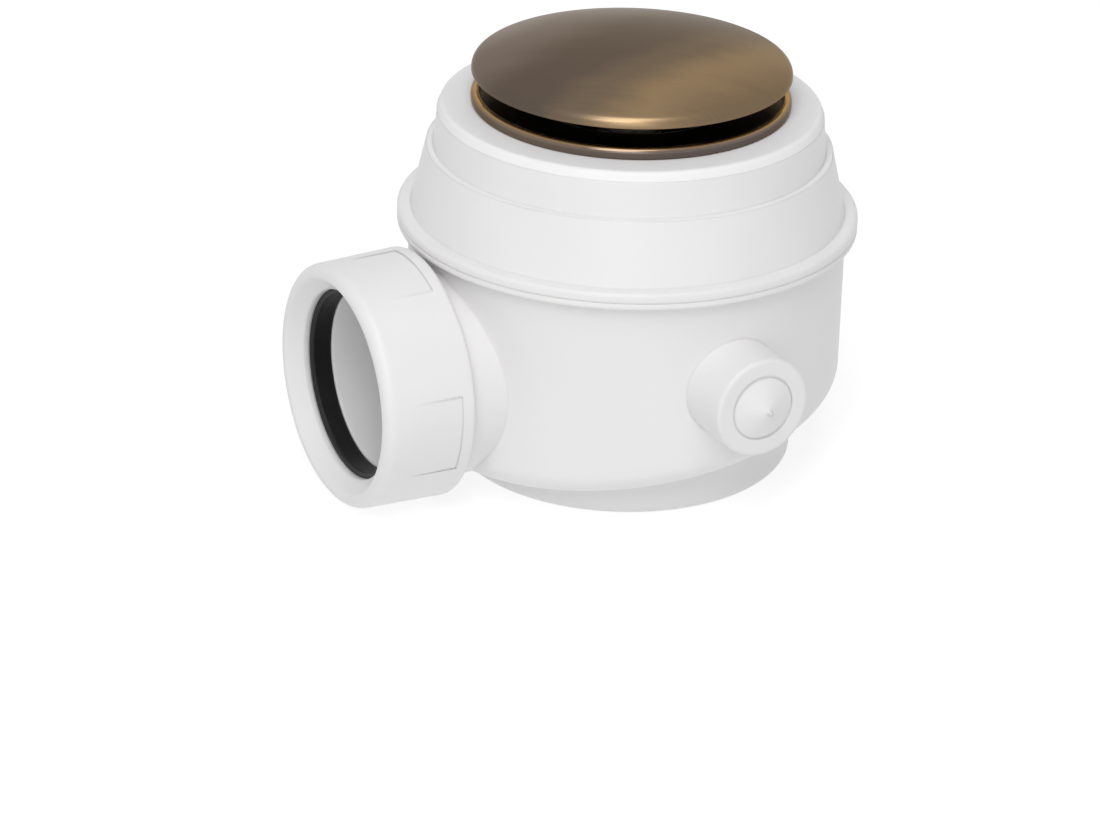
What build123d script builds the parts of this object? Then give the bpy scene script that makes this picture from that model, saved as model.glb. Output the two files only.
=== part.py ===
from build123d import *
import os
from math import atan, degrees, sqrt

# Shower trap with a press plug, a metal waste ring, a two-part moulded body and a side outlet.
# Millimetres. The origin is the centre of the foot's underside, on the waste axis, with +Z up.
# The outlet leaves along -X and the blind boss along -Y.

os.makedirs("parts", exist_ok=True)

# Fits
running_fit = 0.05          # radial, spindle and piston in the sleeve
thread_fit = 0.1            # radial, between a plain thread and its nut
loose_fit = 0.3             # radial, between turned pieces that pass each other
skirt_fit = 0.2             # radial, upper body's skirt in the bowl

# Bowl: central cup, sloping gutter round it, outer wall and rim
wall = 2.4
foot_radius = 39.2
foot_round = 3.0
cup_floor = 2.6
weir_height = 50.0
bowl_radius = 49.6
gutter_height = 13.2        # gutter underside on the waste axis
gutter_fall = 0.15          # rise of the gutter for each millimetre away from the outlet
gutter_round = 5.0
rim_underside = 56.0
rim_thickness = 1.5
rim_overhang = 2.6          # rim beyond the bowl's side
rim_round = 0.4
parting_chamfer = 0.2       # on both edges of the joint between rim and lip

# Outlet: tail tube with a socket for a 40 mm pipe
outlet_height = 28.5
pipe_radius = 20.0
socket_fit = 0.25
socket_length = 16.0
waterway_radius = 18.4
thread_radius = 23.9
spigot_standoff = 14.8      # tail's end beyond the bowl's side
neck_radius = 24.6
neck_gap = 1.3              # from the neck's end to the nut

# Outlet nut and its seal
nut_radius = 28.35
nut_front_radius = 27.7
nut_length = 21.4
nut_round = 2.5
nut_mouth_radius = 21.6
nut_mouth_wall = 4.8        # from the front face back to the seal
funnel_radius = 24.7
funnel_depth = 3.4
funnel_round = 0.9
nut_mouth_round = 0.4
nut_rear_round = 0.8
seal_width = 5.0            # along the outlet, between the tail's end and the nut
panel_count = 4
panel_span = 38.6           # degrees round the nut
panel_turn = -7.7           # degrees of the first panel's middle below the front
panel_run_out = 6.8         # from the front face back to where a panel starts
panel_rear_margin = 3.2
seal_radius = 23.3
seal_bore = 20.3
seal_round = 0.7

# Blind boss
boss_height = 34.6
boss_reach = 61.9
boss_radius = 11.4
boss_round = 0.8
recess_radius = 7.4
recess_depth = 0.5
recess_crown = 2.4          # top of the cone in the recess, above the boss's face
nib_radius = 0.6
nib_height = 0.9

# Upper body
lip_height = 2.4
lip_round = 0.9
lip_ledge = 3.0             # flat top of the lip, out to its edge
cone_foot_round = 1.2
cone_lean = 3.3             # loss of radius up the cone
cone_rise = 14.4
step_width = 1.6
step_round = 0.6
top_lean = 0.8              # loss of radius up the top part
top_round = 0.4
top_rise = 8.2
top_plate = 3.0
skirt_depth = 8.5
skirt_wall = 3.0
groove_below_joint = 6.0
groove_width = 2.2
groove_depth = 1.4
o_ring_fit = 0.05           # all round the O-ring's section
o_ring_chamfer = 0.4
collar_wall = 3.0
seat_lip = 2.3
seat_thickness = 2.0
dip_seat_drop = 22.5        # collar's bottom below the top face

# Tray seal and ring gasket
tray_seal_thickness = 2.0
tray_seal_inset = 0.1
tray_seal_draft = 0.7       # loss of radius up to the top face
tray_seal_round = 1.2
ring_gasket_thickness = 0.8
ring_gasket_radius = 33.8

# Waste ring
ring_radius = 36.0
ring_height = 2.6
pan_sheet = 1.25
pan_radius = 33.8
lip_width = 1.7
lip_outer_round = 1.1
lip_inner_round = 0.45
ring_foot_round = 0.6
tail_radius = 23.9
throat_radius = 22.3
throat_round = 1.0
web_count = 4
web_thickness = 2.6
web_height = 6.5
web_bite = 0.3              # reach of each web into the tail's wall
hub_radius = 8.2
hub_height = 8.0
hub_clear = 1.2             # hub's bottom above the tail's end

# Dip tube
dip_tube_radius = 21.5
dip_tube_wall = 1.6
dip_flange_thickness = 1.6
dip_gap = 6.2               # tube's lower edge above the cup's floor
dip_ring_height = 1.8

# Plug: domed cover, core, gasket, retainer and spindle, drawn in the open position
plug_travel = 3.6
plug_gap = 0.3              # gasket's bead above the ring's pan when the plug is shut
cover_radius = 36.0
cover_rise = 5.6
cover_sheet = 0.9
cover_edge = 2.2
cover_round = 2.3
cover_lip = 0.25            # round of the edge's lower corner
core_inset = 1.2
gasket_radius = 32.6
gasket_thickness = 1.2
bead_radius = 26.5
bead_width = 2.0
bead_depth = 0.8
bead_round = 0.5
retainer_radius = 12.0
retainer_thickness = 1.8
spindle_radius = 2.5
spindle_hex = 8.0
spindle_hex_height = 1.8
spindle_grip = 3.4          # length screwed into the core
core_hole_end = 0.2         # hole beyond the spindle's end
piston_length = 3.0
piston_radius = 3.9

# Sleeve, spring and lock nut
sleeve_radius = 5.9
sleeve_head_radius = 8.0
sleeve_head_height = 1.5
sleeve_cap = 1.5
sleeve_floor = 1.5
sleeve_above_hub = 5.5
sleeve_below_nut = 1.0      # from the lock nut down to the spring's foot
wire_diameter = 0.6
spring_free_length = 7.5
spring_turns = 4.5
lock_nut_flats = 17.0
lock_nut_height = 4.0

# Heights that follow
joint_z = rim_underside + rim_thickness
rim_radius = bowl_radius + rim_overhang
lip_radius = rim_radius
cone_foot_radius = lip_radius - lip_ledge
cone_top_radius = cone_foot_radius - cone_lean
step_radius = cone_top_radius - step_width
top_radius = step_radius - top_lean
lip_top_z = joint_z + lip_height
step_z = lip_top_z + cone_rise
top_z = step_z + top_rise
ring_z = top_z + tray_seal_thickness
pan_z = ring_z + pan_sheet
crest_z = ring_z + ring_height
seat_z = top_z - dip_seat_drop + seat_thickness
dip_flange_z = seat_z + dip_ring_height
tail_end_z = dip_flange_z + dip_flange_thickness
hub_z = tail_end_z + hub_clear
hub_top_z = hub_z + hub_height
gasket_z = pan_z + plug_gap + plug_travel + bead_depth
core_z = gasket_z + gasket_thickness
retainer_z = gasket_z - retainer_thickness
hex_z = retainer_z - spindle_hex_height
collar_radius = tail_radius + loose_fit
inner_radius = bowl_radius - wall
skirt_radius = inner_radius - skirt_fit
spring_z = hub_z - lock_nut_height - sleeve_below_nut
piston_z = spring_z + spring_free_length
sleeve_top_z = hub_top_z + sleeve_above_hub
sleeve_bore = piston_radius + running_fit
coil_radius = sleeve_bore - loose_fit - wire_diameter / 2
spigot_reach = bowl_radius + spigot_standoff
nut_front = spigot_reach + seal_width + nut_mouth_wall
nut_rear = nut_front - nut_length
neck_reach = nut_rear - neck_gap
panel_front = -nut_front + panel_run_out
panel_rear = -nut_rear - panel_rear_margin
panel_floor = nut_radius - (nut_radius - nut_front_radius) * (-panel_front - nut_rear) / (nut_front - nut_rear)
core_radius = cover_radius - core_inset
dome_radius = (cover_radius**2 + cover_rise**2) / (2 * cover_rise)
inner_dome = dome_radius - cover_sheet
cover_top_z = core_z + cover_edge + cover_rise
dome_centre_z = cover_top_z - dome_radius
shoulder_radius = (cover_radius - cover_round) * dome_radius / (dome_radius - cover_round)
cover_round_z = dome_centre_z + sqrt((dome_radius - cover_round)**2 - (cover_radius - cover_round)**2)
outlet_axis = Axis((0, 0, outlet_height), (1, 0, 0))


# Height of the dome's surface of a given sphere radius at a distance from the axis
def dome_z(sphere, distance):
    return dome_centre_z + sqrt(sphere**2 - distance**2)


# Plane of the gutter's underside, or of a floor above it by the given thickness
def gutter_plane(thickness):
    slope = degrees(atan(gutter_fall))
    rise = thickness * sqrt(1 + gutter_fall**2)
    return Plane((0, 0, gutter_height + rise)).rotated((0, -slope, 0))


# Space of the gutter, open above, with its floor parallel to the bowl's underside
with BuildPart() as gutter_space:
    with BuildSketch():
        Circle(inner_radius)
    extrude(amount=joint_z)
    split(bisect_by=gutter_plane(wall), keep=Keep.TOP)
    floor_edge = gutter_space.edges().group_by(Axis.Z)[0].sort_by(SortBy.LENGTH)[-1]
    fillet(floor_edge, gutter_round - wall)

# Bowl
with BuildPart() as bowl:
    # Outer drum, cut below by the sloping plane
    with BuildSketch():
        Circle(bowl_radius)
    extrude(amount=joint_z)
    split(bisect_by=gutter_plane(0), keep=Keep.TOP)
    slanted_edge = bowl.edges().group_by(Axis.Z)[0].sort_by(SortBy.LENGTH)[-1]
    fillet(slanted_edge, gutter_round)
    # Rim that carries the upper body
    with BuildSketch(Plane.XY.offset(rim_underside)):
        Circle(rim_radius)
    extrude(amount=rim_thickness)
    rim_edge = bowl.edges().filter_by(GeomType.CIRCLE).filter_by(lambda e: e.radius > rim_radius - 0.01)
    fillet(rim_edge.group_by(Axis.Z)[0], rim_round)
    chamfer(rim_edge.group_by(Axis.Z)[-1], parting_chamfer)
    # Outlet neck and threaded tail
    with BuildSketch(Plane.XZ):
        with BuildLine():
            Polyline(
                (-foot_radius + wall, outlet_height),
                (-foot_radius + wall, outlet_height + neck_radius),
                (-neck_reach, outlet_height + neck_radius),
                (-neck_reach, outlet_height + thread_radius),
                (-spigot_reach, outlet_height + thread_radius),
                (-spigot_reach, outlet_height),
                close=True,
            )
        make_face()
    revolve(axis=outlet_axis)
    # Blind boss
    with BuildSketch(Plane.XZ.offset(inner_radius)):
        with Locations((0, boss_height)):
            Circle(boss_radius)
    extrude(amount=boss_reach - inner_radius)
    boss_edge = bowl.edges().filter_by(GeomType.CIRCLE).sort_by(Axis.Y)[0]
    fillet(boss_edge, boss_round)
    # Gutter
    add(gutter_space.part, mode=Mode.SUBTRACT)
    # Central cup, whose rim is the weir
    with BuildSketch():
        Circle(foot_radius)
    extrude(amount=weir_height)
    foot_edge = bowl.edges().filter_by(GeomType.CIRCLE).sort_by(Axis.Z)[0]
    fillet(foot_edge, foot_round)
    with BuildSketch(Plane.XY.offset(cup_floor)):
        Circle(foot_radius - wall)
    extrude(amount=joint_z, mode=Mode.SUBTRACT)
    # Waterway and pipe socket
    with BuildSketch(Plane.YZ.offset(-spigot_reach)):
        with Locations((0, outlet_height)):
            Circle(pipe_radius + socket_fit)
    extrude(amount=socket_length, mode=Mode.SUBTRACT)
    with BuildSketch(Plane.YZ.offset(-spigot_reach)):
        with Locations((0, outlet_height)):
            Circle(waterway_radius)
    extrude(amount=spigot_reach - foot_radius, mode=Mode.SUBTRACT)
    # Shallow recess in the boss, with a cone in it that ends in a small nib
    with BuildSketch(Plane.XZ.offset(boss_reach)):
        with Locations((0, boss_height)):
            Circle(recess_radius)
    extrude(amount=-recess_depth, mode=Mode.SUBTRACT)
    with BuildSketch(Plane.YZ):
        with BuildLine():
            Polyline(
                (-boss_reach + recess_depth, boss_height),
                (-boss_reach + recess_depth, boss_height + recess_radius),
                (-boss_reach - recess_crown, boss_height + nib_radius),
                (-boss_reach - recess_crown - nib_height, boss_height + nib_radius),
                (-boss_reach - recess_crown - nib_height, boss_height),
                close=True,
            )
        make_face()
    revolve(axis=Axis((0, 0, boss_height), (0, 1, 0)))
bowl.part.label = "bowl"
export_step(bowl.part, "parts/bowl.step")

# Upper body: lip, cone, step and top, with the skirt below and the threaded collar inside
with BuildPart() as upper_body:
    with BuildSketch(Plane.XZ) as section:
        with BuildLine():
            Polyline(
                (skirt_radius - skirt_wall, joint_z - skirt_depth),
                (skirt_radius, joint_z - skirt_depth),
                (skirt_radius, joint_z),
                (lip_radius - parting_chamfer, joint_z),
                (lip_radius, joint_z + parting_chamfer),
                (lip_radius, lip_top_z),
                (cone_foot_radius, lip_top_z),
                (cone_top_radius, step_z),
                (step_radius, step_z),
                (top_radius, top_z),
                (collar_radius, top_z),
                (collar_radius, seat_z),
                (collar_radius - seat_lip, seat_z),
                (collar_radius - seat_lip, seat_z - seat_thickness),
                (collar_radius + collar_wall, seat_z - seat_thickness),
                (collar_radius + collar_wall, top_z - top_plate),
                (top_radius - wall, top_z - top_plate),
                (step_radius - wall, step_z - wall),
                (cone_top_radius - wall, step_z - wall),
                (cone_foot_radius - wall, lip_top_z),
                (skirt_radius - skirt_wall, joint_z),
                close=True,
            )
        make_face()
        outside = section.vertices().filter_by(lambda v: v.X > top_radius - 0.01)
        fillet(outside.filter_by(lambda v: v.X > lip_radius - 0.01).sort_by(Axis.Y)[-1], lip_round)
        fillet(outside.filter_by(lambda v: abs(v.X - cone_foot_radius) < 0.01).sort_by(Axis.Y)[-1], cone_foot_round)
        fillet(outside.filter_by(lambda v: abs(v.X - cone_top_radius) < 0.01).sort_by(Axis.Y)[-1], step_round)
        fillet(outside.filter_by(lambda v: abs(v.X - top_radius) < 0.01).sort_by(Axis.Y)[-1], top_round)
    revolve(axis=Axis.Z)
    # Groove for the body O-ring
    with BuildSketch(Plane.XY.offset(joint_z - groove_below_joint)):
        Circle(skirt_radius)
        Circle(skirt_radius - groove_depth, mode=Mode.SUBTRACT)
    extrude(amount=groove_width, mode=Mode.SUBTRACT)
upper_body.part.label = "upper_body"
export_step(upper_body.part, "parts/upper_body.step")

# Body O-ring, squeezed to the width of its groove
with BuildPart() as body_o_ring:
    with BuildSketch(Plane.XZ) as section:
        with Locations((inner_radius - (groove_depth + skirt_fit) / 2, joint_z - groove_below_joint + groove_width / 2)):
            Rectangle(groove_depth + skirt_fit - 2 * o_ring_fit, groove_width - 2 * o_ring_fit)
        chamfer(section.vertices(), o_ring_chamfer)
    revolve(axis=Axis.Z)
body_o_ring.part.label = "body_o_ring"
export_step(body_o_ring.part, "parts/body_o_ring.step")

# Tray seal: soft ring on the upper body, with a shallow step for the ring gasket
with BuildPart() as tray_seal:
    with BuildSketch(Plane.XZ) as section:
        with BuildLine():
            Polyline(
                (collar_radius + loose_fit, top_z),
                (top_radius - tray_seal_inset, top_z),
                (top_radius - tray_seal_inset - tray_seal_draft, ring_z),
                (ring_gasket_radius, ring_z),
                (ring_gasket_radius, ring_z - ring_gasket_thickness),
                (collar_radius + loose_fit, ring_z - ring_gasket_thickness),
                close=True,
            )
        make_face()
        outer_corner = section.vertices().filter_by(lambda v: v.X > ring_radius).sort_by(Axis.Y)[-1]
        fillet(outer_corner, tray_seal_round)
    revolve(axis=Axis.Z)
tray_seal.part.label = "tray_seal"
export_step(tray_seal.part, "parts/tray_seal.step")

# Ring gasket under the metal flange
with BuildPart() as ring_gasket:
    with BuildSketch(Plane.XY.offset(ring_z - ring_gasket_thickness)):
        Circle(ring_gasket_radius)
        Circle(collar_radius + loose_fit, mode=Mode.SUBTRACT)
    extrude(amount=ring_gasket_thickness)
ring_gasket.part.label = "ring_gasket"
export_step(ring_gasket.part, "parts/ring_gasket.step")

# Waste ring: rolled flange with a shallow pan, threaded tail, hub on four webs
with BuildPart() as waste_ring:
    with BuildSketch(Plane.XZ) as section:
        with BuildLine():
            Polyline(
                (throat_radius, tail_end_z),
                (tail_radius, tail_end_z),
                (tail_radius, ring_z),
                (ring_radius, ring_z),
                (ring_radius, crest_z),
                (ring_radius - lip_width, crest_z),
                (pan_radius, pan_z),
                (throat_radius, pan_z),
                close=True,
            )
        make_face()
        fillet(section.vertices().group_by(Axis.Y)[-1].sort_by(Axis.X)[-1], lip_outer_round)
        fillet(section.vertices().group_by(Axis.Y)[-1].sort_by(Axis.X)[0], lip_inner_round)
        fillet(section.vertices().filter_by(lambda v: abs(v.Y - pan_z) < 0.01).sort_by(Axis.X)[0], throat_round)
        fillet(section.vertices().filter_by(lambda v: v.X > ring_radius - 0.01).sort_by(Axis.Y)[0], ring_foot_round)
    revolve(axis=Axis.Z)
    # Hub and webs, with drain slots between them
    with BuildSketch(Plane.XY.offset(hub_z)):
        Circle(hub_radius)
    extrude(amount=hub_height)
    with BuildSketch(Plane.XY.offset(hub_z)):
        with PolarLocations(throat_radius / 2 + web_bite, web_count):
            Rectangle(throat_radius, web_thickness)
    extrude(amount=web_height)
    with BuildSketch(Plane.XY.offset(hub_z)):
        Circle(sleeve_radius + thread_fit)
    extrude(amount=hub_height, mode=Mode.SUBTRACT)
waste_ring.part.label = "waste_ring"
export_step(waste_ring.part, "parts/waste_ring.step")

# Dip tube, hung on its flange from the collar's seat
with BuildPart() as dip_tube:
    with BuildSketch(Plane.XY.offset(cup_floor + dip_gap)):
        Circle(dip_tube_radius)
    extrude(amount=tail_end_z - cup_floor - dip_gap)
    with BuildSketch(Plane.XY.offset(dip_flange_z)):
        Circle(collar_radius - loose_fit)
    extrude(amount=dip_flange_thickness)
    with BuildSketch(Plane.XY.offset(cup_floor + dip_gap)):
        Circle(dip_tube_radius - dip_tube_wall)
    extrude(amount=tail_end_z, mode=Mode.SUBTRACT)
dip_tube.part.label = "dip_tube"
export_step(dip_tube.part, "parts/dip_tube.step")

# O-ring between the dip tube's flange and its seat
with BuildPart() as dip_tube_o_ring:
    with BuildSketch(Plane.XZ) as section:
        with Locations(((dip_tube_radius + collar_radius) / 2, seat_z + dip_ring_height / 2)):
            Rectangle(collar_radius - dip_tube_radius - 2 * loose_fit, dip_ring_height)
        chamfer(section.vertices(), o_ring_chamfer)
    revolve(axis=Axis.Z)
dip_tube_o_ring.part.label = "dip_tube_o_ring"
export_step(dip_tube_o_ring.part, "parts/dip_tube_o_ring.step")

# Outlet seal between the tail's end and the nut's inner face
with BuildPart() as outlet_seal:
    with BuildSketch(Plane.XZ) as section:
        with BuildLine():
            Polyline(
                (-spigot_reach, outlet_height + seal_bore),
                (-spigot_reach, outlet_height + seal_radius),
                (-nut_front + nut_mouth_wall, outlet_height + seal_radius),
                (-nut_front + nut_mouth_wall, outlet_height + seal_bore),
                close=True,
            )
        make_face()
        fillet(section.vertices().group_by(Axis.Y)[0], seal_round)
    revolve(axis=outlet_axis)
outlet_seal.part.label = "outlet_seal"
export_step(outlet_seal.part, "parts/outlet_seal.step")

# Outlet nut with four shallow grip panels
with BuildPart() as outlet_nut:
    with BuildSketch(Plane.XZ) as section:
        with BuildLine():
            Polyline(
                (-nut_front + funnel_depth, outlet_height + nut_mouth_radius),
                (-nut_front, outlet_height + funnel_radius),
                (-nut_front, outlet_height + nut_front_radius),
                (-nut_rear, outlet_height + nut_radius),
                (-nut_rear, outlet_height + thread_radius + loose_fit),
                (-nut_front + nut_mouth_wall, outlet_height + thread_radius + loose_fit),
                (-nut_front + nut_mouth_wall, outlet_height + nut_mouth_radius),
                close=True,
            )
        make_face()
        fillet(section.vertices().group_by(Axis.X)[0].sort_by(Axis.Y)[-1], nut_round)
        fillet(section.vertices().group_by(Axis.X)[0].sort_by(Axis.Y)[0], funnel_round)
        fillet(section.vertices().group_by(Axis.X)[-1].sort_by(Axis.Y)[-1], nut_rear_round)
        lip = section.vertices().filter_by(lambda v: abs(v.Y - outlet_height - nut_mouth_radius) < 0.01)
        fillet(lip.sort_by(Axis.X)[0], nut_mouth_round)
    revolve(axis=outlet_axis)
    # Panels sunk into the tapering outside, each turned round the outlet's axis by its span
    for panel in range(panel_count):
        start = 90 - panel_turn - panel_span / 2 + panel * 360 / panel_count
        outlet_plane = Plane((0, 0, outlet_height), x_dir=(1, 0, 0), z_dir=(0, -1, 0))
        with BuildSketch(outlet_plane.rotated((start, 0, 0))):
            with BuildLine():
                Polyline(
                    (panel_rear, nut_radius),
                    (panel_front, nut_radius),
                    (panel_front, panel_floor),
                    (panel_rear, panel_floor),
                    close=True,
                )
            make_face()
        revolve(axis=outlet_axis, revolution_arc=panel_span, mode=Mode.SUBTRACT)
outlet_nut.part.label = "outlet_nut"
export_step(outlet_nut.part, "parts/outlet_nut.step")

# Sleeve that guides the spindle, screwed through the hub
with BuildPart() as plug_sleeve:
    with BuildSketch(Plane.XY.offset(spring_z - sleeve_floor)):
        Circle(sleeve_radius)
    extrude(amount=sleeve_top_z - spring_z + sleeve_floor)
    with BuildSketch(Plane.XY.offset(hub_top_z)):
        Circle(sleeve_head_radius)
    extrude(amount=sleeve_head_height)
    with BuildSketch(Plane.XY.offset(spring_z)):
        Circle(sleeve_bore)
    extrude(amount=sleeve_top_z - sleeve_cap - spring_z, mode=Mode.SUBTRACT)
    with BuildSketch(Plane.XY.offset(spring_z)):
        Circle(spindle_radius + running_fit)
    extrude(amount=sleeve_top_z - spring_z, mode=Mode.SUBTRACT)
plug_sleeve.part.label = "plug_sleeve"
export_step(plug_sleeve.part, "parts/plug_sleeve.step")

# Lock nut under the hub
with BuildPart() as lock_nut:
    with BuildSketch(Plane.XY.offset(hub_z - lock_nut_height)):
        RegularPolygon(lock_nut_flats / 2, 6, major_radius=False)
        Circle(sleeve_radius + thread_fit, mode=Mode.SUBTRACT)
    extrude(amount=lock_nut_height)
lock_nut.part.label = "lock_nut"
export_step(lock_nut.part, "parts/lock_nut.step")

# Spring under the piston
with BuildPart() as plug_spring:
    with BuildLine(Plane.XY.offset(spring_z + wire_diameter / 2)) as coil:
        Helix(
            pitch=(spring_free_length - wire_diameter) / spring_turns,
            height=spring_free_length - wire_diameter,
            radius=coil_radius,
        )
    with BuildSketch(Plane(origin=coil.line @ 0, z_dir=coil.line % 0)):
        Circle(wire_diameter / 2)
    sweep()
plug_spring.part.label = "plug_spring"
export_step(plug_spring.part, "parts/plug_spring.step")

# Spindle with its piston, clamping hexagon and threaded end
with BuildPart() as plug_spindle:
    with BuildSketch(Plane.XY.offset(piston_z)):
        Circle(spindle_radius)
    extrude(amount=core_z + spindle_grip - piston_z)
    with BuildSketch(Plane.XY.offset(piston_z)):
        Circle(piston_radius)
    extrude(amount=piston_length)
    with BuildSketch(Plane.XY.offset(hex_z)):
        RegularPolygon(spindle_hex / 2, 6, major_radius=False)
    extrude(amount=spindle_hex_height)
plug_spindle.part.label = "plug_spindle"
export_step(plug_spindle.part, "parts/plug_spindle.step")

# Retainer washer under the gasket
with BuildPart() as gasket_retainer:
    with BuildSketch(Plane.XY.offset(retainer_z)):
        Circle(retainer_radius)
        Circle(spindle_radius + thread_fit, mode=Mode.SUBTRACT)
    extrude(amount=retainer_thickness)
gasket_retainer.part.label = "gasket_retainer"
export_step(gasket_retainer.part, "parts/gasket_retainer.step")

# Cover gasket: wide disc with a sealing bead that meets the pan
with BuildPart() as cover_gasket:
    with BuildSketch(Plane.XY.offset(gasket_z)):
        Circle(gasket_radius)
        Circle(spindle_radius + thread_fit, mode=Mode.SUBTRACT)
    extrude(amount=gasket_thickness)
    with BuildSketch(Plane.XY.offset(gasket_z)):
        Circle(bead_radius)
        Circle(bead_radius - bead_width, mode=Mode.SUBTRACT)
    extrude(amount=-bead_depth)
    bead_edges = cover_gasket.edges().group_by(Axis.Z)[0]
    fillet(bead_edges, bead_round)
cover_gasket.part.label = "cover_gasket"
export_step(cover_gasket.part, "parts/cover_gasket.step")

# Plug core: moulded disc that fills the cover and takes the spindle
with BuildPart() as plug_core:
    with BuildSketch(Plane.XZ):
        with BuildLine():
            Polyline(
                (0, dome_z(inner_dome, 0)),
                (0, core_z),
                (core_radius, core_z),
                (core_radius, dome_z(inner_dome, core_radius)),
            )
            RadiusArc(
                (0, dome_z(inner_dome, 0)),
                (core_radius, dome_z(inner_dome, core_radius)),
                inner_dome,
            )
        make_face()
    revolve(axis=Axis.Z)
    with BuildSketch(Plane.XY.offset(core_z)):
        Circle(spindle_radius + thread_fit)
    extrude(amount=spindle_grip + core_hole_end, mode=Mode.SUBTRACT)
plug_core.part.label = "plug_core"
export_step(plug_core.part, "parts/plug_core.step")

# Cover cap: domed metal sheet with a plain edge turned down
with BuildPart() as cover_cap:
    with BuildSketch(Plane.XZ) as section:
        with BuildLine():
            Polyline(
                (core_radius, dome_z(inner_dome, core_radius)),
                (core_radius, core_z),
                (cover_radius, core_z),
                (cover_radius, cover_round_z),
            )
            RadiusArc((cover_radius, cover_round_z), (shoulder_radius, dome_z(dome_radius, shoulder_radius)), -cover_round)
            RadiusArc((shoulder_radius, dome_z(dome_radius, shoulder_radius)), (0, cover_top_z), -dome_radius)
            Line((0, cover_top_z), (0, dome_z(inner_dome, 0)))
            RadiusArc(
                (0, dome_z(inner_dome, 0)),
                (core_radius, dome_z(inner_dome, core_radius)),
                inner_dome,
            )
        make_face()
        fillet(section.vertices().filter_by(lambda v: v.X > cover_radius - 0.01).sort_by(Axis.Y)[0], cover_lip)
    revolve(axis=Axis.Z)
cover_cap.part.label = "cover_cap"
export_step(cover_cap.part, "parts/cover_cap.step")
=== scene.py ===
"""Looks of a low shower trap: white moulded bowl and nut, black seal, brushed bronze cover and ring."""
import math

import bpy
from mathutils import Matrix

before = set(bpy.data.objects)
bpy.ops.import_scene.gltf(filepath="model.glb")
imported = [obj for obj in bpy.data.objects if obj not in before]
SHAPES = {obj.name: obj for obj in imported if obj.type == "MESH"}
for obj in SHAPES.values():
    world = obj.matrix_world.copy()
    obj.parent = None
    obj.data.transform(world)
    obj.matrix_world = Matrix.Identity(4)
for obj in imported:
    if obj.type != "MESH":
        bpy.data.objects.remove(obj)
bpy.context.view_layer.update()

MM = 0.001


# Small helpers

def colour(hex_value):
    """Turns an sRGB hex value to linear red, green, blue and alpha."""
    parts = [int(hex_value[i:i + 2], 16) / 255 for i in (0, 2, 4)]
    return [c / 12.92 if c <= 0.04045 else ((c + 0.055) / 1.055) ** 2.4 for c in parts] + [1.0]


def grey(value):
    """Gives a grey of that linear value."""
    return [value, value, value, 1.0]


def add(tree, kind, values=None, links=None, **settings):
    """Adds one node with its settings, its sockets' values and the links that come into it."""
    node = tree.nodes.new(kind)
    for name, value in settings.items():
        setattr(node, name, value)
    for socket, value in (values or {}).items():
        node.inputs[socket].default_value = value
    for socket, (source, output) in (links or {}).items():
        tree.links.new(source.outputs[output], node.inputs[socket])
    return node


def new_material(name):
    """Makes an empty material and returns it with its node tree and its output node."""
    made = bpy.data.materials.new(name)
    made.use_nodes = True
    made.node_tree.nodes.clear()
    return made, made.node_tree, made.node_tree.nodes.new("ShaderNodeOutputMaterial")


# Camera

EYE_MM = (-454.1, -780.8, 429.5)
LENS_MM, SENSOR_MM = 140.73, 36.0
CAMERA_TURN, CAMERA_DROP, CAMERA_ROLL = math.radians(-29.15), math.radians(25.07), math.radians(1.56)

lens = bpy.data.cameras.new("camera")
lens.sensor_width = SENSOR_MM
lens.sensor_fit = "HORIZONTAL"
lens.lens = LENS_MM
camera = bpy.data.objects.new("camera", lens)
bpy.context.scene.collection.objects.link(camera)
camera.matrix_world = (
    Matrix.Translation([v * MM for v in EYE_MM])
    @ Matrix.Rotation(CAMERA_TURN, 4, "Z")
    @ Matrix.Rotation(math.pi / 2 - CAMERA_DROP, 4, "X")
    @ Matrix.Rotation(CAMERA_ROLL, 4, "Z")
)
bpy.context.scene.camera = camera
bpy.context.scene.view_settings.view_transform = "Standard"


# Materials

PLATE_RADIUS_MM = 36.0                  # cover and ring, the reach of the bands of painted reflection
PAN_DARK_MM, PAN_END_MM = 33.9, 34.5    # painted shade: the ring's pan is painted dark up to the first and ends at the second
BEAD_GOLD_MM, BEAD_END_MM = 35.2, 35.9  # painted highlight: the bead is painted gold up to the first, and the gold ends at the second


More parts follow.
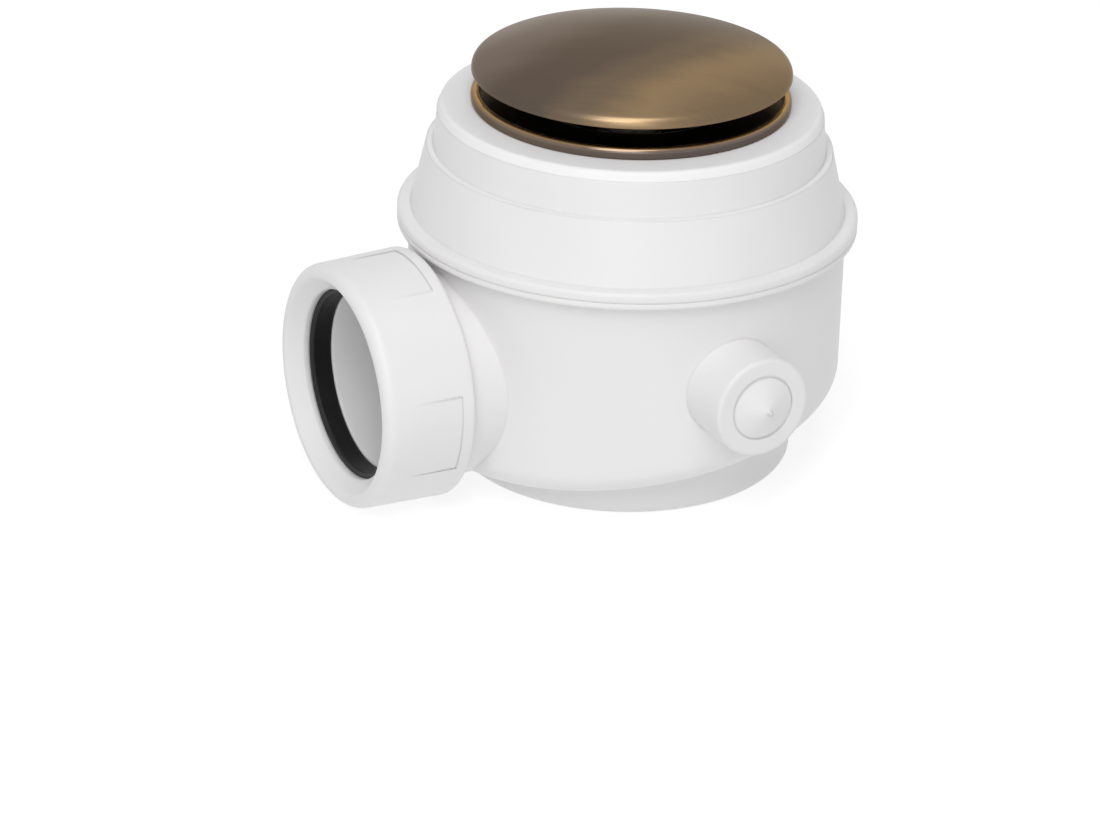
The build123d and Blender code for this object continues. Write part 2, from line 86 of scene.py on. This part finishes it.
def moulded_polypropylene():
    """White polypropylene, injection moulded: an even satin skin with faint shrink waves and a fine grain."""
    made, tree, out = new_material("moulded_polypropylene")
    place = add(tree, "ShaderNodeTexCoord")
    # Shrink waves about 16 mm long and a spark-eroded mould grain drawn at 0.35 mm so that it shows
    waves = add(tree, "ShaderNodeTexNoise", {"Scale": 1 / (16 * MM), "Detail": 1.0, "Roughness": 0.4},
                {"Vector": (place, "Object")})
    grain = add(tree, "ShaderNodeTexNoise", {"Scale": 1 / (0.35 * MM), "Detail": 2.0, "Roughness": 0.6},
                {"Vector": (place, "Object")})
    tint = add(tree, "ShaderNodeValToRGB", links={"Fac": (waves, "Fac")})
    tint.color_ramp.elements[0].position, tint.color_ramp.elements[1].position = 0.3, 0.7
    tint.color_ramp.elements[0].color = colour("EBEAEA")
    tint.color_ramp.elements[1].color = colour("EDECEC")
    gloss = add(tree, "ShaderNodeMapRange", {"From Min": 0.3, "From Max": 0.7, "To Min": 0.36, "To Max": 0.42},
                {"Value": (waves, "Fac")})
    # The tool's edges and corners are worn to a radius of about 1 mm
    edges = add(tree, "ShaderNodeBevel", {"Radius": 1.0 * MM}, samples=6)
    wave_bump = add(tree, "ShaderNodeBump", {"Strength": 0.2, "Distance": 0.06 * MM},
                    {"Height": (waves, "Fac"), "Normal": (edges, "Normal")})
    skin_bump = add(tree, "ShaderNodeBump", {"Strength": 0.15, "Distance": 0.008 * MM},
                    {"Height": (grain, "Fac"), "Normal": (wave_bump, "Normal")})
    shader = add(tree, "ShaderNodeBsdfPrincipled", {"IOR": 1.49},
                 {"Base Color": (tint, "Color"), "Roughness": (gloss, "Result"), "Normal": (skin_bump, "Normal")})
    tree.links.new(shader.outputs[0], out.inputs["Surface"])
    return made


def soft_white_seal():
    """White thermoplastic rubber: softer and duller than the moulding, with a fine dry grain."""
    made, tree, out = new_material("soft_white_seal")
    place = add(tree, "ShaderNodeTexCoord")
    grain = add(tree, "ShaderNodeTexNoise", {"Scale": 1 / (0.5 * MM), "Detail": 3.0}, {"Vector": (place, "Object")})
    cloud = add(tree, "ShaderNodeTexNoise", {"Scale": 1 / (14 * MM), "Detail": 1.0}, {"Vector": (place, "Object")})
    tint = add(tree, "ShaderNodeValToRGB", links={"Fac": (cloud, "Fac")})
    tint.color_ramp.elements[0].color = colour("F0F0F1")
    tint.color_ramp.elements[1].color = colour("F7F7F8")
    bump = add(tree, "ShaderNodeBump", {"Strength": 0.25, "Distance": 0.02 * MM}, {"Height": (grain, "Fac")})
    shader = add(tree, "ShaderNodeBsdfPrincipled", {"IOR": 1.5, "Roughness": 0.55},
                 {"Base Color": (tint, "Color"), "Normal": (bump, "Normal")})
    tree.links.new(shader.outputs[0], out.inputs["Surface"])
    return made


def antique_bronze(name, band, reach, stops, roughness):
    """Darkened bronze plate: brush lines across it and broad bands of painted reflection, lighter and darker, that
    follow one direction.
    """
    made, tree, out = new_material(name)
    place = add(tree, "ShaderNodeTexCoord")
    # Brush lines 0.2 mm apart and 15 mm long, on axes turned 41 degrees
    turned = add(tree, "ShaderNodeMapping", {"Rotation": (0, 0, math.radians(41))}, {"Vector": (place, "Object")})
    drawn = add(tree, "ShaderNodeMapping", {"Scale": (1 / (15 * MM), 1 / (0.2 * MM), 1 / (15 * MM))},
                {"Vector": (turned, "Vector")})
    lines = add(tree, "ShaderNodeTexNoise", {"Scale": 1.0, "Detail": 3.0, "Roughness": 0.6},
                {"Vector": (drawn, "Vector")})
    # Uneven edges of the bands, clouds 24 mm long and 9 mm across
    spread = add(tree, "ShaderNodeMapping", {"Scale": (1 / (24 * MM), 1 / (9 * MM), 1 / (24 * MM))},
                 {"Vector": (turned, "Vector")})
    clouds = add(tree, "ShaderNodeTexNoise", {"Scale": 1.0, "Detail": 3.0, "Roughness": 0.55},
                 {"Vector": (spread, "Vector")})
    across = add(tree, "ShaderNodeMapping", {"Rotation": (0, 0, -math.radians(band))}, {"Vector": (place, "Object")})
    split = add(tree, "ShaderNodeSeparateXYZ", links={"Vector": (across, "Vector")})
    share = add(tree, "ShaderNodeMapRange", {"From Min": -reach * MM, "From Max": reach * MM},
                {"Value": (split, "X")})
    uneven = add(tree, "ShaderNodeMapRange", {"To Min": -0.07, "To Max": 0.07}, {"Value": (clouds, "Fac")})
    moved = add(tree, "ShaderNodeMath", links={0: (share, "Result"), 1: (uneven, "Result")}, operation="ADD")
    # Painted reflection: the bands paint lighter and darker reflections into the colour, strongly on the cover and
    # faintly on the ring.
    reflection_bands = add(tree, "ShaderNodeValToRGB", links={"Fac": (moved, 0)})
    ramp = reflection_bands.color_ramp
    ramp.interpolation = "EASE"
    while len(ramp.elements) < len(stops):
        ramp.elements.new(0.5)
    for stop, (at, hex_value) in zip(ramp.elements, stops):
        stop.position = at
        stop.color = colour(hex_value)
    brushed = add(tree, "ShaderNodeMix", {0: 0.12}, {6: (reflection_bands, "Color"), 7: (lines, "Fac")},
                  data_type="RGBA", blend_type="OVERLAY")
    bump = add(tree, "ShaderNodeBump", {"Strength": 0.12, "Distance": 0.008 * MM}, {"Height": (lines, "Fac")})
    shader = add(tree, "ShaderNodeBsdfPrincipled",
                 {"Metallic": 1.0, "Roughness": roughness, "Specular Tint": colour("DAD2C8")},
                 {"Base Color": (brushed, 2), "Normal": (bump, "Normal")})
    tree.links.new(shader.outputs[0], out.inputs["Surface"])
    return made, tree, shader, brushed


def brushed_cover():
    """Cover plate in bands of painted reflection: brown in the middle, a painted gold highlight in front, greyer
    towards its edges.
    """
    # Painted reflection and highlight: grey at one end, dark brown in the middle, gold near the other end.
    stops = ((0.0, "8A827F"), (0.2, "716760"), (0.42, "5D524A"), (0.54, "5E534A"), (0.66, "706151"),
             (0.8, "8F795C"), (1.0, "78654F"))
    return antique_bronze("brushed_cover", -70.0, PLATE_RADIUS_MM, stops, 0.3)[0]


def polished_ring():
    """Waste ring: a painted gold highlight on the polished bead, grey-brown down its side and painted shade, almost
    black, inside the pan.
    """
    stops = ((0.0, "6E6258"), (0.5, "75675A"), (1.0, "6C615B"))
    made, tree, shader, brushed = antique_bronze("polished_ring", -80.0, PLATE_RADIUS_MM, stops, 0.2)
    place = add(tree, "ShaderNodeTexCoord")
    parts = add(tree, "ShaderNodeSeparateXYZ", links={"Vector": (place, "Object")})
    flat = add(tree, "ShaderNodeCombineXYZ", links={"X": (parts, "X"), "Y": (parts, "Y")})
    radius = add(tree, "ShaderNodeVectorMath", links={0: (flat, "Vector")}, operation="LENGTH")
    # Painted shade: the pan under the cover is painted almost black, standing in for the shade there and the black
    # gasket's reflection.
    inside = add(tree, "ShaderNodeMapRange", {"From Min": PAN_DARK_MM * MM, "From Max": PAN_END_MM * MM},
                 {"Value": (radius, "Value")})
    pan_shade = add(tree, "ShaderNodeMix", {6: colour("17110D")}, {0: (inside, "Result"), 7: (brushed, 2)},
               data_type="RGBA")
    # Painted highlight: a lighter gold is painted on the bead's crest.
    crown = add(tree, "ShaderNodeMapRange", {"From Min": BEAD_END_MM * MM, "From Max": BEAD_GOLD_MM * MM},
                {"Value": (radius, "Value")})
    crest_highlight = add(tree, "ShaderNodeMath", links={0: (crown, "Result"), 1: (inside, "Result")}, operation="MULTIPLY")
    gold = add(tree, "ShaderNodeMix", {7: colour("B08A55")}, {0: (crest_highlight, 0), 6: (pan_shade, 2)}, data_type="RGBA")
    tree.links.new(gold.outputs[2], shader.inputs["Base Color"])
    return made


def black_rubber():
    """Moulded EPDM rubber: near black with a soft skin sheen and a faint bloom."""
    made, tree, out = new_material("black_rubber")
    place = add(tree, "ShaderNodeTexCoord")
    bloom = add(tree, "ShaderNodeTexNoise", {"Scale": 1 / (6 * MM), "Detail": 4.0}, {"Vector": (place, "Object")})
    tint = add(tree, "ShaderNodeValToRGB", links={"Fac": (bloom, "Fac")})
    tint.color_ramp.elements[0].color = colour("08080A")
    tint.color_ramp.elements[1].color = colour("101012")
    gloss = add(tree, "ShaderNodeMapRange", {"To Min": 0.4, "To Max": 0.55}, {"Value": (bloom, "Fac")})
    bump = add(tree, "ShaderNodeBump", {"Strength": 0.3, "Distance": 0.03 * MM}, {"Height": (bloom, "Fac")})
    shader = add(tree, "ShaderNodeBsdfPrincipled", {"IOR": 1.5, "Specular IOR Level": 0.3},
                 {"Base Color": (tint, "Color"), "Roughness": (gloss, "Result"), "Normal": (bump, "Normal")})
    tree.links.new(shader.outputs[0], out.inputs["Surface"])
    return made


def closed_cell_foam():
    """Grey closed-cell foam sheet, die cut: matt, with cells about 0.4 mm across."""
    made, tree, out = new_material("closed_cell_foam")
    place = add(tree, "ShaderNodeTexCoord")
    cells = add(tree, "ShaderNodeTexVoronoi", {"Scale": 1 / (0.4 * MM)}, {"Vector": (place, "Object")})
    tint = add(tree, "ShaderNodeValToRGB", links={"Fac": (cells, "Distance")})
    tint.color_ramp.elements[0].color = colour("8A8A8C")
    tint.color_ramp.elements[1].color = colour("A9A9AB")
    bump = add(tree, "ShaderNodeBump", {"Strength": 0.5, "Distance": 0.08 * MM}, {"Height": (cells, "Distance")})
    shader = add(tree, "ShaderNodeBsdfPrincipled", {"IOR": 1.45, "Roughness": 0.9},
                 {"Base Color": (tint, "Color"), "Normal": (bump, "Normal")})
    tree.links.new(shader.outputs[0], out.inputs["Surface"])
    return made


def moulded_acetal():
    """Natural acetal: milky, slippery and a little glossier than polypropylene."""
    made, tree, out = new_material("moulded_acetal")
    place = add(tree, "ShaderNodeTexCoord")
    flow = add(tree, "ShaderNodeTexNoise", {"Scale": 1 / (5 * MM), "Detail": 2.0}, {"Vector": (place, "Object")})
    tint = add(tree, "ShaderNodeValToRGB", links={"Fac": (flow, "Fac")})
    tint.color_ramp.elements[0].color = colour("DEDACF")
    tint.color_ramp.elements[1].color = colour("E9E6DD")
    bump = add(tree, "ShaderNodeBump", {"Strength": 0.2, "Distance": 0.04 * MM}, {"Height": (flow, "Fac")})
    shader = add(tree, "ShaderNodeBsdfPrincipled", {"IOR": 1.48, "Roughness": 0.28},
                 {"Base Color": (tint, "Color"), "Normal": (bump, "Normal")})
    tree.links.new(shader.outputs[0], out.inputs["Surface"])
    return made


def turned_brass():
    """Bare brass, turned on a lathe: bright gold with tool rings up its length."""
    made, tree, out = new_material("turned_brass")
    place = add(tree, "ShaderNodeTexCoord")
    # The wave turns 20 radians for each unit, so the tool rings are about 1.9 mm apart
    rings = add(tree, "ShaderNodeTexWave", {"Scale": 1 / (0.3 * MM) / 20, "Distortion": 0.6, "Detail": 1.0},
                {"Vector": (place, "Object")}, bands_direction="Z")
    tint = add(tree, "ShaderNodeValToRGB", links={"Fac": (rings, "Fac")})
    tint.color_ramp.elements[0].color = colour("C6A15A")
    tint.color_ramp.elements[1].color = colour("DDBB78")
    bump = add(tree, "ShaderNodeBump", {"Strength": 0.3, "Distance": 0.015 * MM}, {"Height": (rings, "Fac")})
    shader = add(tree, "ShaderNodeBsdfPrincipled", {"Metallic": 1.0, "Roughness": 0.24},
                 {"Base Color": (tint, "Color"), "Normal": (bump, "Normal")})
    tree.links.new(shader.outputs[0], out.inputs["Surface"])
    return made


def drawn_steel():
    """Stainless spring wire, drawn: grey, with fine marks along it."""
    made, tree, out = new_material("drawn_steel")
    place = add(tree, "ShaderNodeTexCoord")
    marks = add(tree, "ShaderNodeTexNoise", {"Scale": 1 / (0.3 * MM), "Detail": 3.0}, {"Vector": (place, "Object")})
    tint = add(tree, "ShaderNodeValToRGB", links={"Fac": (marks, "Fac")})
    tint.color_ramp.elements[0].color = colour("9A9B9E")
    tint.color_ramp.elements[1].color = colour("C2C3C5")
    shader = add(tree, "ShaderNodeBsdfPrincipled", {"Metallic": 1.0, "Roughness": 0.3},
                 {"Base Color": (tint, "Color")})
    tree.links.new(shader.outputs[0], out.inputs["Surface"])
    return made


polypropylene = moulded_polypropylene()
white_seal = soft_white_seal()
cover_bronze = brushed_cover()
ring_bronze = polished_ring()
rubber = black_rubber()
foam = closed_cell_foam()
acetal = moulded_acetal()
brass = turned_brass()
steel = drawn_steel()

FINISHES = {
    "bowl": polypropylene, "upper_body": polypropylene, "dip_tube": polypropylene, "outlet_nut": polypropylene,
    "tray_seal": white_seal, "ring_gasket": foam, "waste_ring": ring_bronze, "cover_cap": cover_bronze,
    "body_o_ring": rubber, "dip_tube_o_ring": rubber, "outlet_seal": rubber, "cover_gasket": rubber,
    "plug_sleeve": acetal, "plug_core": acetal, "gasket_retainer": acetal,
    "lock_nut": brass, "plug_spindle": brass, "plug_spring": steel,
}
for node, finish in FINISHES.items():
    for slot in SHAPES[node].material_slots:
        slot.material = finish


# Floor, room and lamps

TABLE_GREY, TABLE_GLOW = 0.42, 0.42     # the table as the object is lit by it
SHOWN_GREY, SHOWN_GLOW = 0.5, 0.67      # the table as it is seen: white outside the shadow
ROOM_LIGHT, ROOM_SHOWN = 0.45, 1.0      # the room in the same two ways
LAMP_DISTANCE, LAMP_SIZE, AIM_HEIGHT = 1.3, 0.6, 0.05


def seen_directly(tree):
    """Gives 1 to camera, glossy and transmission rays and 0 to the rays that light the object."""
    ray = add(tree, "ShaderNodeLightPath")
    seen = add(tree, "ShaderNodeMath", links={0: (ray, "Is Camera Ray"), 1: (ray, "Is Glossy Ray")},
               operation="MAXIMUM")
    return add(tree, "ShaderNodeMath", links={0: (seen, 0), 1: (ray, "Is Transmission Ray")},
               operation="MAXIMUM")


def white_floor():
    """Pale light table: white to the camera and in reflections, with the object's soft shadow kept."""
    made, tree, out = new_material("white_floor")
    seen = seen_directly(tree)
    table = add(tree, "ShaderNodeBsdfDiffuse", {"Color": grey(TABLE_GREY)})
    lamp = add(tree, "ShaderNodeEmission", {"Strength": TABLE_GLOW})
    lit = add(tree, "ShaderNodeAddShader", links={0: (table, 0), 1: (lamp, 0)})
    shaded = add(tree, "ShaderNodeBsdfDiffuse", {"Color": grey(SHOWN_GREY)})
    glow = add(tree, "ShaderNodeEmission", {"Strength": SHOWN_GLOW})
    pale = add(tree, "ShaderNodeAddShader", links={0: (shaded, 0), 1: (glow, 0)})
    both = add(tree, "ShaderNodeMixShader", links={0: (seen, 0), 1: (lit, 0), 2: (pale, 0)})
    tree.links.new(both.outputs[0], out.inputs["Surface"])
    return made


bpy.ops.object.select_all(action="DESELECT")
bpy.ops.mesh.primitive_plane_add(size=12.0, location=(0, 0, 0))
floor = bpy.context.object
floor.name = "floor"
floor.data.materials.append(white_floor())

room = bpy.data.worlds.new("room")
bpy.context.scene.world = room
room.use_nodes = True
room.node_tree.nodes.clear()
tree = room.node_tree
seen = seen_directly(tree)
dim = add(tree, "ShaderNodeBackground", {"Color": grey(1.0), "Strength": ROOM_LIGHT})
white = add(tree, "ShaderNodeBackground", {"Color": grey(1.0), "Strength": ROOM_SHOWN})
sky = add(tree, "ShaderNodeMixShader", links={0: (seen, 0), 1: (dim, 0), 2: (white, 0)})
end = add(tree, "ShaderNodeOutputWorld")
tree.links.new(sky.outputs[0], end.inputs["Surface"])


def softbox(name, azimuth, height, watts):
    """Hangs a square lamp round the trap, aimed at its middle; azimuth and height are in degrees."""
    lamp = bpy.data.lights.new(name, "AREA")
    lamp.size = LAMP_SIZE
    lamp.energy = watts
    holder = bpy.data.objects.new(name, lamp)
    bpy.context.scene.collection.objects.link(holder)
    turn, rise = math.radians(azimuth), math.radians(height)
    holder.matrix_world = (
        Matrix.Translation((0, 0, AIM_HEIGHT))
        @ Matrix.Rotation(turn, 4, "Z")
        @ Matrix.Rotation(math.pi / 2 - rise, 4, "X")
        @ Matrix.Translation((0, 0, LAMP_DISTANCE))
    )


softbox("front_left_box", -40, 42, 4.45)
softbox("high_front_box", -32, 67, 3.45)
softbox("low_front_box", -30, 12, 1.5)
